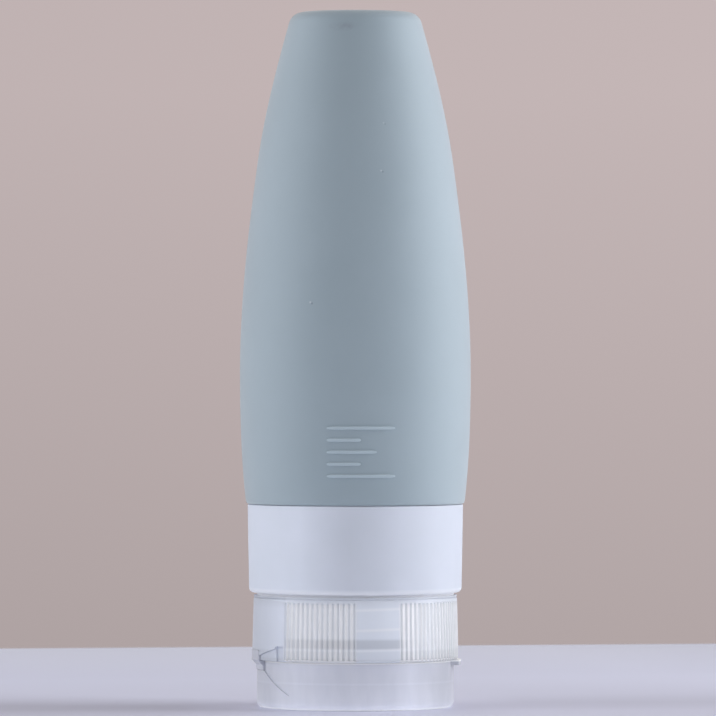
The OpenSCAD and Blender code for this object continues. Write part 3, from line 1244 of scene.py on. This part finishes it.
    def build(self) -> list[bpy.types.Object]:
        """Models the soft body and its marks, and dresses them.

        Returns:
            The pieces.
        """
        form = self.model_form()
        marks = [self.model_mark(row, length, form) for row, length in enumerate(self.mark_lengths)]
        scale = Bench.join(marks, "level_marks")
        Bench.smooth(scale)
        # the raised marks take a paler tone of the silicone
        pale_marks = SiliconeFinish(name="raised_mark_finish", colour=self.mark_colour, dusty=self.mark_dusty)
        form.data.materials.append(SiliconeFinish().make())
        scale.data.materials.append(pale_marks.make())
        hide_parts("squeeze_body")
        for piece in (form, scale):
            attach(piece, Body.BOTTLE.value)
        return [form, scale]


@dataclass
class Thread:
    """One right-hand thread ridge, wound round the axis and run out at both ends."""

    name: str
    body: Body
    slot: Slot
    root_r: float
    crest_r: float
    start_z: float
    start_angle: float
    turns: float
    pitch: float = 3.3 * MM
    root_w: float = 1.35 * MM
    crest_w: float = 0.55 * MM
    sunk: float = 0.12 * MM
    near: float = 0.02 * MM
    smooth_angle: float = 25.0
    steps_turn: int = 72
    run_out: int = 5

    def build(self, finish: bpy.types.Material) -> bpy.types.Object:
        """Models the ridge.

        Args:
            finish: Its material.

        Returns:
            The ridge.
        """
        outwards = 1 if self.crest_r > self.root_r else -1
        root = self.root_r - outwards * self.sunk
        Bench.clear()
        bpy.ops.mesh.primitive_plane_add(size=1, rotation=(math.pi / 2, 0, 0))
        piece = Bench.name_new(self.name)
        piece.location = ((root + self.crest_r) / 2, 0, self.start_z)
        piece.scale = (abs(self.crest_r - root), self.root_w, 1)
        Bench.settle(piece)
        with Bench.editing(piece):
            Bench.select_points(piece, lambda co: abs(co.x - self.crest_r) < self.near)
            bpy.ops.transform.resize(
                value=(1, 1, self.crest_w / self.root_w), center_override=(self.crest_r, 0, self.start_z)
            )
        piece.rotation_euler = (0, 0, math.radians(self.start_angle))
        Bench.settle(piece)
        steps = round(self.steps_turn * self.turns)
        Bench.modify(
            piece,
            "SCREW",
            axis="Z",
            angle=FULL_TURN * self.turns,
            screw_offset=self.pitch * self.turns,
            steps=steps,
            render_steps=steps,
            use_merge_vertices=False,
        )
        self.taper(piece, steps, outwards)
        Bench.smooth(piece, self.smooth_angle)
        piece.data.materials.append(finish)
        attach(piece, self.body.value)
        return piece

    def taper(self, piece: bpy.types.Object, steps: int, outwards: int) -> None:
        """Runs the ridge's ends out into the wall, and closes them.

        Args:
            piece: The wound ridge.
            steps: Number of sections along it, less one.
            outwards: 1 for an outer ridge and -1 for an inner one.
        """
        depth = outwards * (self.crest_r - self.root_r)
        half_w = self.root_w / 2 + self.near
        with Bench.editing(piece):
            for end in (0, 1):
                for back in range(self.run_out):
                    section = back if end == 0 else steps - back
                    share = 1 - back / self.run_out
                    turn = self.start_angle + 360 * self.turns * section / steps
                    height = self.start_z + self.pitch * self.turns * section / steps
                    angle = math.radians(turn)
                    out = Vector((math.cos(angle), math.sin(angle), 0))
                    side = Vector((-out.y, out.x, 0))
                    Bench.select_points(
                        piece,
                        lambda co, s=side, o=out, z=height: abs(co.dot(s)) < self.near
                        and co.dot(o) > 0
                        and abs(co.z - z) < half_w,
                    )
                    bpy.ops.transform.translate(value=-outwards * share * depth * out)
                    if back == 0:
                        bpy.ops.mesh.merge(type="CENTER")
            Bench.face_outwards()


@dataclass
class Neck:
    """The threaded neck and the collar ring that clamps the soft body on it."""

    neck_r: float = 14.15 * MM
    thread_out: float = 0.72 * MM
    first_z: float = 12.275 * MM
    first_angle: float = -180.0
    turns: float = 1.7

    def build(self, nodes: dict[str, bpy.types.Object]) -> list[bpy.types.Object]:
        """Models the neck's thread and dresses the neck and the ring.

        Args:
            nodes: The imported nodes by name.

        Returns:
            The pieces.
        """
        finish = NeckFinish().make()
        dress(nodes["neck_insert"], finish)
        dress(nodes["collar_ring"], CollarFinish().make())
        thread = Thread(
            name="neck_thread",
            body=Body.BOTTLE,
            slot=Slot.NECK_PLASTIC,
            root_r=self.neck_r,
            crest_r=self.neck_r + self.thread_out,
            start_z=self.first_z,
            start_angle=self.first_angle,
            turns=self.turns,
        )
        return [thread.build(finish), nodes["neck_insert"], nodes["collar_ring"]]


@dataclass
class Seal:
    """The silicone seal between the neck and the cap's deck, with its slit valve."""

    outer_r: float = 15.05 * MM
    ring_in_r: float = 11.9 * MM
    web_t: float = 0.8 * MM
    seal_t: float = 1.5 * MM
    cup_r: float = 4.35 * MM
    cup_wall: float = 1.0 * MM
    valve_t: float = 0.7 * MM
    slit_l: float = 3.4 * MM
    slit_w: float = 0.15 * MM
    edge: float = 0.18 * MM
    edge_segments: int = 3
    steps_round: int = 96

    def build(self) -> list[bpy.types.Object]:
        """Turns the seal, cuts its cross slit and dresses it.

        Returns:
            The piece.
        """
        low, high = (corner.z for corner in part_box("valve_seal"))
        seal_z = high - self.seal_t
        cup_in = self.cup_r - self.cup_wall
        outline = [
            (0, low),
            (self.cup_r, low),
            (self.cup_r, seal_z),
            (self.outer_r, seal_z),
            (self.outer_r, high),
            (self.ring_in_r, high),
            (self.ring_in_r - self.seal_t + self.web_t, seal_z + self.web_t),
            (cup_in, seal_z + self.web_t),
            (cup_in, low + self.valve_t),
            (0, low + self.valve_t),
        ]
        piece = Bench.turned("slit_valve", outline, self.steps_round)
        Bench.round_edges(piece, self.edge, self.edge_segments)
        for turn in (0, 90):
            Bench.clear()
            bpy.ops.mesh.primitive_cube_add(
                size=1, location=(0, 0, low + self.valve_t / 2), rotation=(0, 0, math.radians(turn))
            )
            blade = Bench.name_new("slit_blade")
            blade.scale = (self.slit_l, self.slit_w, 2 * self.valve_t)
            Bench.settle(blade)
            Bench.modify(piece, "BOOLEAN", operation="DIFFERENCE", object=blade, solver="EXACT")
            bpy.data.objects.remove(blade)
        Bench.smooth(piece)
        piece.data.materials.append(ValveFinish().make())
        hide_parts("valve_seal")
        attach(piece, Body.SEAL.value)
        return [piece]


@dataclass
class Closure:
    """The screw cap and its flip lid, joined by a thin moulded strap, with a fine bead at each rim."""

    skirt_in_r: float = 15.2 * MM
    thread_in: float = 0.62 * MM
    first_z: float = 12.275 * MM
    first_angle: float = 0.0
    turns: float = 1.6
    strap_w: float = 5.0 * MM
    cap_leg: Span = (16.5 * MM, 16.88 * MM)
    lid_leg: Span = (15.7 * MM, 16.15 * MM)
    cap_leg_z: Span = (8.35 * MM, 9.55 * MM)
    lid_leg_z: Span = (6.3 * MM, 7.05 * MM)
    film_t: float = 0.4 * MM
    web: tuple[float, float, float] = (15.78 * MM, 16.84 * MM, 7.84 * MM)
    bend_reach: float = 0.7 * MM
    film_cuts: int = 5
    edge: float = 0.06 * MM
    edge_segments: int = 2
    edge_bend: float = 51.57
    foot_bead: tuple[Point, Point] = ((16.15 * MM, 7.88 * MM), (16.38 * MM, 8.25 * MM))
    top_bead: tuple[Point, Point] = ((16.35 * MM, 18.2 * MM), (16.7 * MM, 18.5 * MM))
    steps_round: int = 144

    def model_beads(self) -> bpy.types.Object:
        """Turns the fine beads on the skirt's foot and top, which cover the gaps to the lid and the ring.

        Returns:
            Both beads as one piece.
        """
        beads = []
        for (inner, low), (outer, high) in (self.foot_bead, self.top_bead):
            start = (inner, low)
            outline = [start, (outer, low), (outer, high), (inner, high), start]
            beads.append(Bench.turned("skirt_bead", outline, self.steps_round))
        piece = Bench.join(beads, "skirt_beads")
        Bench.round_edges(piece, self.edge, self.edge_segments, self.edge_bend)
        Bench.smooth(piece)
        return piece

    def model_strap(self, hinge: Vector) -> bpy.types.Object:
        """Models the strap: a leg in the cap, a thin film at the hinge, and a leg in the lid.

        Args:
            hinge: The hinge's place.

        Returns:
            The strap.
        """
        out = Vector((hinge.x, hinge.y, 0))
        hinge_r = out.length
        turn = math.atan2(out.y, out.x)
        sections = [
            (*self.cap_leg, self.cap_leg_z[1]),
            (*self.cap_leg, self.cap_leg_z[0]),
            (hinge_r - self.film_t / 2, hinge_r + self.film_t / 2, hinge.z),
            self.web,
            (*self.lid_leg, self.lid_leg_z[1]),
            (*self.lid_leg, self.lid_leg_z[0]),
        ]
        Bench.clear()
        bpy.ops.mesh.primitive_plane_add(size=1)
        piece = Bench.name_new("hinge_film")
        inner, outer, height = sections[0]
        piece.location = ((inner + outer) / 2, 0, height)
        piece.scale = (outer - inner, self.strap_w, 1)
        Bench.settle(piece)
        with Bench.editing(piece):
            last = sections[0]
            for section in sections[1:]:
                inner, outer, height = section
                middle = (inner + outer) / 2
                move = (middle - (last[0] + last[1]) / 2, 0, height - last[2])
                bpy.ops.mesh.extrude_region_move(TRANSFORM_OT_translate={"value": move})
                bpy.ops.transform.resize(
                    value=((outer - inner) / (last[1] - last[0]), 1, 1), center_override=(middle, 0, height)
                )
                last = section
            bpy.ops.mesh.select_all(action="SELECT")
            bpy.ops.mesh.subdivide(number_cuts=self.film_cuts)
            Bench.face_outwards()
        Bench.round_edges(piece, self.edge, self.edge_segments, self.edge_bend)
        piece.rotation_euler = (0, 0, turn)
        Bench.settle(piece)
        Bench.smooth(piece)
        return piece

    def build(self, frame: dict) -> list[bpy.types.Object]:
        """Models the strap, the beads and the cap's thread, and dresses the cap and the lid.

        Args:
            frame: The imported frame.

        Returns:
            The pieces.
        """
        nodes = frame["nodes"]
        finish = CapFinish().make()
        lid_finish = FrostedFinish().make()
        dress(nodes["screw_cap"], finish)
        dress(nodes["flip_lid"], lid_finish)
        beads = self.model_beads()
        beads.data.materials.append(finish)
        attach(beads, Body.CAP.value)
        joint = next(row for row in frame["joints"] if row["name"] == "lid_flip")
        hinge = Vector(joint["pos_m"])
        strap = self.model_strap(hinge)
        plain = FrostedFinish(name="frosted_strap_finish", depth=self.film_t, rims=NO_RIMS)
        strap.data.materials.append(plain.make())
        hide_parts("hinge_strap")
        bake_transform(strap)
        thread = Thread(
            name="cap_thread",
            body=Body.CAP,
            slot=Slot.FROSTED_PLASTIC,
            root_r=self.skirt_in_r,
            crest_r=self.skirt_in_r - self.thread_in,
            start_z=self.first_z,
            start_angle=self.first_angle,
            turns=self.turns,
        )
        return [strap, beads, thread.build(finish), nodes["screw_cap"], nodes["flip_lid"]]


def dress(node: bpy.types.Object, finish: bpy.types.Material) -> None:
    """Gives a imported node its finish.

    Args:
        node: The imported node.
        finish: The material.
    """
    node.data.materials.clear()
    node.data.materials.append(finish)


@dataclass(frozen=True)
class Lamp:
    """One soft area lamp, aimed at the bottle."""

    name: str
    place: Place
    size: Span
    power: float
    aim_z: float = 57 * MM

    def hang(self) -> None:
        """Puts the lamp up."""
        Bench.clear()
        bpy.ops.object.light_add(type="AREA", location=self.place)
        lamp = bpy.context.object
        lamp.name = self.name
        lamp.data.shape = "RECTANGLE"
        lamp.data.size, lamp.data.size_y = self.size
        lamp.data.energy = self.power
        aim = Vector((0, 0, self.aim_z)) - Vector(self.place)
        lamp.rotation_euler = aim.to_track_quat("-Z", "Y").to_euler()
        lamp.visible_camera = False


@dataclass
class Studio:
    """The camera, the table, the wall and the lamps.

    The table has its own colour for the camera, and table_bounce for the light that it throws back.
    """

    camera_x: float = 0.44 * MM
    camera_y: float = -1.150
    camera_z: float = 57.46 * MM
    lens: float = 351.0
    sensor: float = 36.0
    clip: Span = (0.05, 10.0)
    table_half: float = 0.243
    table_turn: float = 9.3
    table_fade: float = 0.008
    table_colour: Colour = tone(224, 228, 250)
    table_front: Colour = tone(200, 200, 218)
    table_far: Colour = tone(232, 236, 255)
    table_bounce: Colour = tone(246, 247, 255)
    # painted shade towards the table's sides, which the lamps light brightly
    table_side_shade: Stops = stops_mm((75, 1.0), (243, 0.68))
    front_fade: Span = (-0.1, 0.1)
    far_fade: Span = (0.12, 0.22)
    # painted shadows of the bottle, as soft streaks beside its foot
    streak_x: Stops = stops_mm((18, 0.0), (29, 1.0), (65, 1.0), (110, 0.0))
    left_streak: Stops = stops_mm((-45, 1.0), (-23, 0.978), (-10, 0.88), (3, 0.865), (16, 0.94), (30, 1.0))
    right_streak: Stops = stops_mm(
        (-45, 1.0), (-23, 1.083), (-10, 1.058), (3, 0.978), (16, 0.91),
        (30, 0.925), (44, 0.957), (66, 0.978), (90, 1.0),
    )
    # painted light: a ring of the table round the lid's foot glows for all rays but the camera's
    foot_r: Span = (17.0 * MM, 17.6 * MM)
    foot_glow: float = 0.16
    # painted shade on the wall: darker low down and towards the left
    wall_high: Colour = tone(196, 182, 182)
    wall_low: Colour = tone(177, 165, 165)
    wall_fade: Span = (-0.045, 0.038)
    wall_sides: Stops = ((-0.05, 0.957), (0.05, 1.0))
    fill: float = 0.38
    lamps: tuple[Lamp, ...] = (
        Lamp("right_softbox", (0.45, 0.02, 0.12), (0.42, 0.60), 2.85),
        Lamp("left_softbox", (-0.50, -0.04, 0.12), (0.50, 0.60), 2.0),
        Lamp("front_softbox", (0.16, -0.80, 0.20), (0.60, 0.40), 0.55),
    )

    def set_camera(self) -> None:
        """Puts the camera where the photograph was taken from, level and square to the bottle."""
        Bench.clear()
        bpy.ops.object.camera_add(
            location=(self.camera_x, self.camera_y, self.camera_z), rotation=(math.pi / 2, 0, 0)
        )
        camera = bpy.context.object
        camera.name = "front_camera"
        camera.data.lens = self.lens
        camera.data.sensor_width = self.sensor
        camera.data.clip_start, camera.data.clip_end = self.clip
        bpy.context.scene.camera = camera

    def table_seen(self, shader: Shader) -> bpy.types.NodeSocket:
        """Gives the table's colour for the camera, with painted shade towards its sides and soft streaks of
        painted shadow on both sides of the foot.

        Args:
            shader: The table's shader.

        Returns:
            The colour.
        """
        place = shader.split(shader.place())
        past_front = shader.rising(place["Y"], self.front_fade)
        colour = shader.mixed(past_front, self.table_front, self.table_colour)
        colour = shader.mixed(shader.rising(place["Y"], self.far_fade), colour, self.table_far)
        across = shader.math("ABSOLUTE", place["X"], 0)
        # painted shade towards the sides
        colour = shader.scaled(colour, shader.graded(across, self.table_side_shade))
        turn = (0, 0, math.radians(self.table_turn))
        square = shader.feed(shader.add("Mapping"), Vector=shader.place(), Rotation=turn)
        square = shader.split(square.outputs[0])
        # painted shadows beside the foot
        for side, stops in ((-1, self.left_streak), (1, self.right_streak)):
            near = shader.graded(shader.math("MULTIPLY", square["X"], side), self.streak_x)
            streak = shader.mixed(near, WHITE, shader.graded(square["Y"], stops))
            colour = shader.scaled(colour, streak)
        return colour

    def lay_table(self) -> None:
        """Lays the table top, whose far edge is the photograph's soft horizon."""
        Bench.clear()
        turn = (0, 0, math.radians(self.table_turn))
        bpy.ops.mesh.primitive_plane_add(size=2 * self.table_half, rotation=turn)
        table = Bench.name_new("table_top")
        material = bpy.data.materials.new("table_finish")
        shader = Shader(material)
        seen = shader.add("LightPath").outputs["Is Camera Ray"]
        # painted light: the ring round the foot glows for all rays but the camera's, lifting the lid's
        # lower edge
        foot = shader.length(shader.place())
        foot = shader.ranged(foot, (self.foot_r[0], self.foot_glow), (self.foot_r[1], 0))
        top = shader.feed(
            shader.add("BsdfPrincipled"),
            Base_Color=shader.mixed(seen, self.table_bounce, self.table_seen(shader)),
            Roughness=0.5,
            Specular_IOR_Level=0.3,
            Emission_Color=WHITE,
            Emission_Strength=shader.math("MULTIPLY", foot, shader.math("SUBTRACT", 1, seen)),
        )
        place = shader.split(shader.place())
        sides = [shader.math("ABSOLUTE", place[axis], 0) for axis in ("X", "Y")]
        edge = shader.math("MAXIMUM", *sides)
        fade = shader.rising(edge, (self.table_half - self.table_fade, self.table_half))
        clear = shader.add("BsdfTransparent")
        mix = shader.layered(fade, top.outputs[0], clear.outputs[0])
        shader.feed(shader.add("OutputMaterial"), Surface=mix)
        table.data.materials.append(material)

    def paint_wall(self) -> None:
        """Makes the world the wall for what looks at it, and a soft fill light for the rest."""
        world = bpy.data.worlds.new("studio_world")
        bpy.context.scene.world = world
        shader = Shader(world)
        look = shader.split(shader.add("TexCoord").outputs["Generated"])
        # painted shade on the wall, darker low down and towards the left
        colour = shader.mixed(shader.rising(look["Z"], self.wall_fade), self.wall_low, self.wall_high)
        colour = shader.scaled(colour, shader.graded(look["X"], self.wall_sides))
        wall = shader.feed(shader.add("Background"), Color=colour)
        fill = shader.feed(shader.add("Background"), Color=WHITE, Strength=self.fill)
        path = shader.add("LightPath")
        seen = shader.math("MAXIMUM", path.outputs["Is Camera Ray"], path.outputs["Is Glossy Ray"])
        seen = shader.math("MAXIMUM", seen, path.outputs["Is Transmission Ray"])
        mix = shader.layered(seen, fill.outputs[0], wall.outputs[0])
        shader.feed(shader.add("OutputWorld"), Surface=mix)

    def build(self) -> None:
        """Sets up the whole studio."""
        self.set_camera()
        self.lay_table()
        self.paint_wall()
        for lamp in self.lamps:
            lamp.hang()
        bpy.context.scene.view_settings.view_transform = "Standard"


def main() -> None:
    """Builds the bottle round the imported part, then the studio."""
    logging.basicConfig(level=logging.INFO, format="%(name)s: %(message)s")
    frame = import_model()
    pieces = [
        *SqueezeBody().build(),
        *Neck().build(frame["nodes"]),
        *Seal().build(),
        *Closure().build(frame),
    ]
    for piece in pieces:
        LOG.info("%s: %d faces", piece.name, len(piece.data.polygons))
    Studio().build()


if __name__ == "__main__":
    main()
